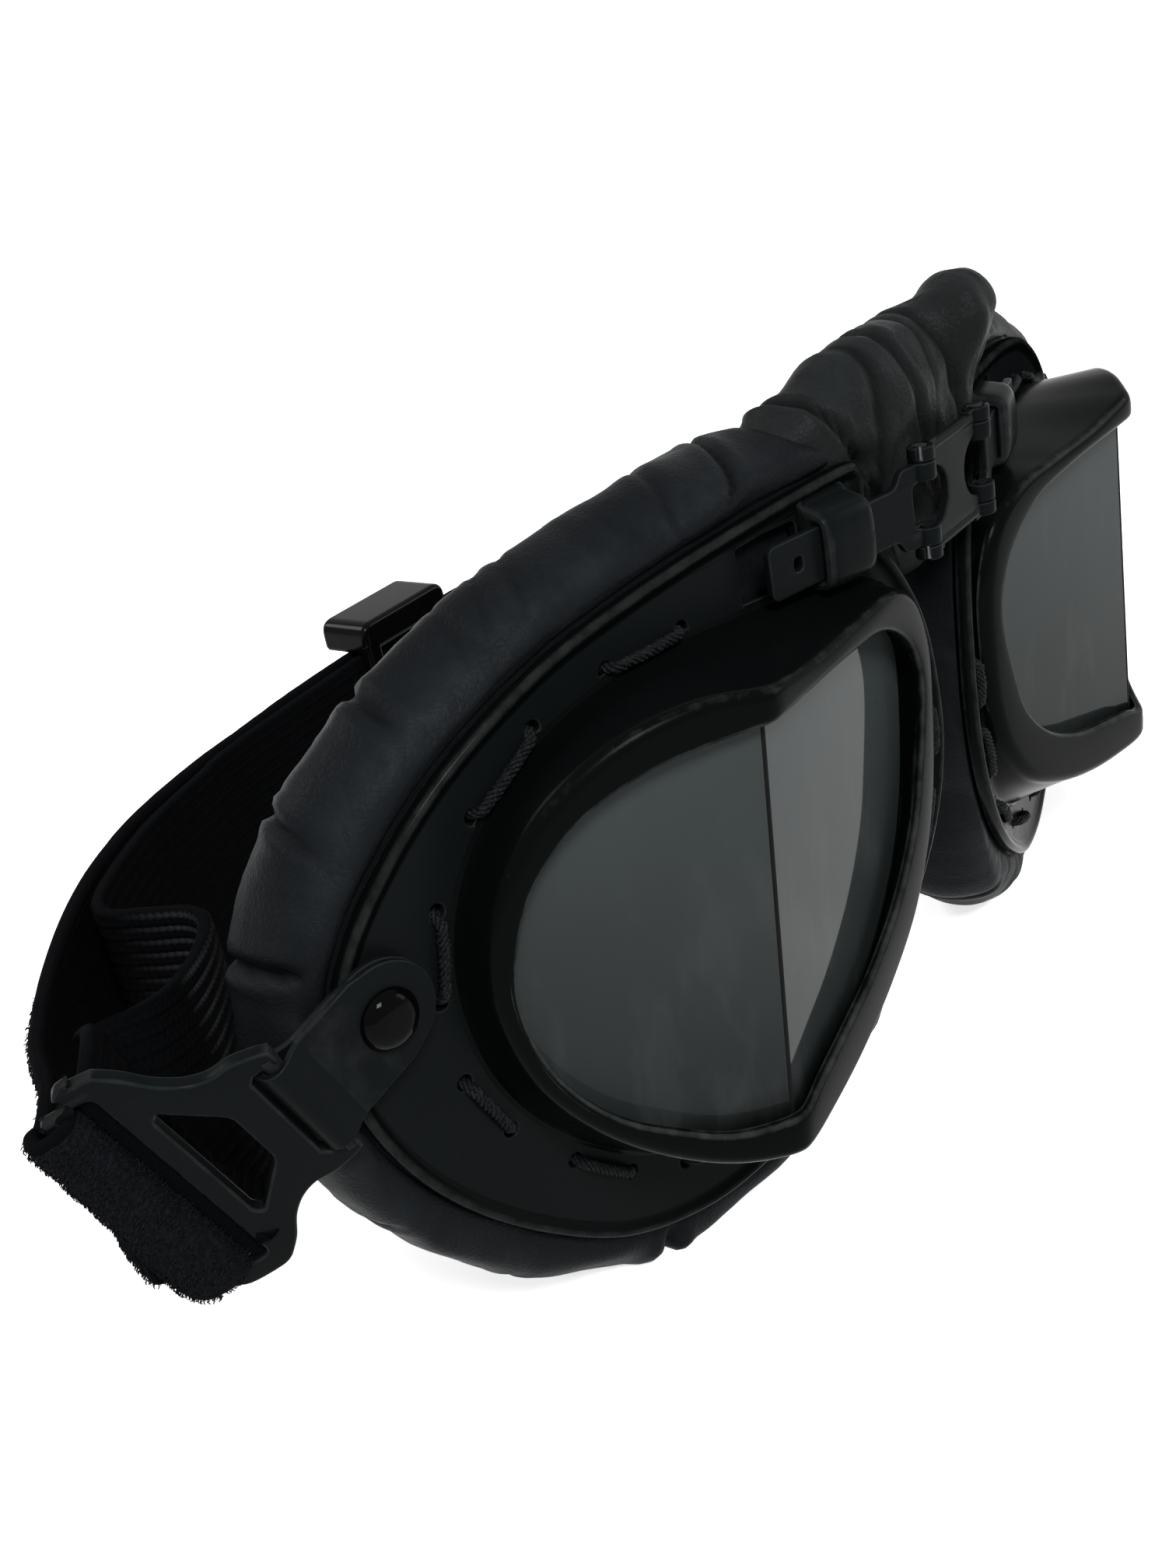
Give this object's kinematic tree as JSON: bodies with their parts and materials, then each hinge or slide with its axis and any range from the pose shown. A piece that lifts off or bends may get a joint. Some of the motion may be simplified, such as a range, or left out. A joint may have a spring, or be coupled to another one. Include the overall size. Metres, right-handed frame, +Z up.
{
  "type": "split-lens goggles",
  "caption": "Goggles with split flat lenses in deep metal rims, padded leather cups, a hinged sliding nose bridge and an adjustable strap on hinged buckles.",
  "frame": {"origin": "bottom centre of the bounding box, on the plane the pads rest on", "axes": "+X towards the wearer's left, -Y is the side the lenses face, +Z up"},
  "size_m": [0.2184, 0.0926, 0.0909],
  "materials": {
    "enamel": "satin black enamel",
    "rivet": "gloss black enamel",
    "pin": "dark steel",
    "lens": "smoke tint, polished",
    "gasket": "matte",
    "cord": "braided, matte",
    "leather": "soft, low sheen",
    "foam": "open foam, hidden",
    "webbing": "woven, matte",
    "slider": "gloss"
  },
  "bodies": {
    "bridge": {"bridge_link": "enamel", "hinge_pins": "pin", "nose_pad": "leather", "strap_back": "webbing"},
    "tongue_right": {"bridge_tongue_right": "enamel"},
    "eyepiece_right": {"face_plate_right": "enamel", "lens_rim_right": "enamel", "front_lens_right": "lens", "side_lens_right": "lens", "lens_gasket_right": "gasket", "lacing_cord_right": "cord", "eye_pad_right": "leather", "pad_foam_right": "foam", "temple_rivet_right": "rivet"},
    "tab_right": {"temple_tab_right": "enamel"},
    "buckle_right": {"buckle_right": "enamel", "strap_side_right": "webbing"},
    "tongue_left": {"bridge_tongue_left": "enamel"},
    "eyepiece_left": {"face_plate_left": "enamel", "lens_rim_left": "enamel", "front_lens_left": "lens", "side_lens_left": "lens", "lens_gasket_left": "gasket", "lacing_cord_left": "cord", "eye_pad_left": "leather", "pad_foam_left": "foam", "temple_rivet_left": "rivet"},
    "tab_left": {"temple_tab_left": "enamel"},
    "buckle_left": {"buckle_left": "enamel", "strap_side_left": "webbing"},
    "slider": {"strap_slider": "slider", "strap_return": "webbing"}
  },
  "joints": [
    {"name": "bridge_hinge_right", "type": "hinge", "parent": "bridge", "child": "tongue_right", "pos_m": [-0.0071, -0.04286, 0.0742], "axis": [0, 0, 1], "range_deg": [-3, 20], "deforming": ["nose_pad"]},
    {"name": "nose_width_right", "type": "slide", "parent": "tongue_right", "child": "eyepiece_right", "axis": [-0.9664, 0.2571, 0], "range_m": [-0.001, 0.006]},
    {"name": "tab_pivot_right", "type": "hinge", "parent": "eyepiece_right", "child": "tab_right", "pos_m": [-0.08101, -0.02257, 0.0507], "axis": [-0.2571, -0.9664, 0], "range_deg": [-45, 6]},
    {"name": "buckle_hinge_right", "type": "hinge", "parent": "tab_right", "child": "buckle_right", "pos_m": [-0.08994, -0.01999, 0.04699], "axis": [0.3853, -0.1025, -0.9171], "range_deg": [-30, 25], "deforming": ["strap_side_right"]},
    {"name": "bridge_hinge_left", "type": "hinge", "parent": "bridge", "child": "tongue_left", "pos_m": [0.0071, -0.04286, 0.0742], "axis": [0, 0, -1], "range_deg": [-3, 20]},
    {"name": "nose_width_left", "type": "slide", "parent": "tongue_left", "child": "eyepiece_left", "axis": [0.9664, 0.2571, 0], "range_m": [-0.001, 0.006]},
    {"name": "tab_pivot_left", "type": "hinge", "parent": "eyepiece_left", "child": "tab_left", "pos_m": [0.08101, -0.02257, 0.0507], "axis": [-0.2571, 0.9664, 0], "range_deg": [-45, 6]},
    {"name": "buckle_hinge_left", "type": "hinge", "parent": "tab_left", "child": "buckle_left", "pos_m": [0.08994, -0.01999, 0.04699], "axis": [0.3853, 0.1025, 0.9171], "range_deg": [-30, 25], "deforming": ["strap_side_left"]},
    {"name": "strap_adjust", "type": "slide", "parent": "bridge", "child": "slider", "axis": [1, 0, 0], "range_m": [-0.012, 0.014], "deforming": ["strap_return"]}
  ]
}
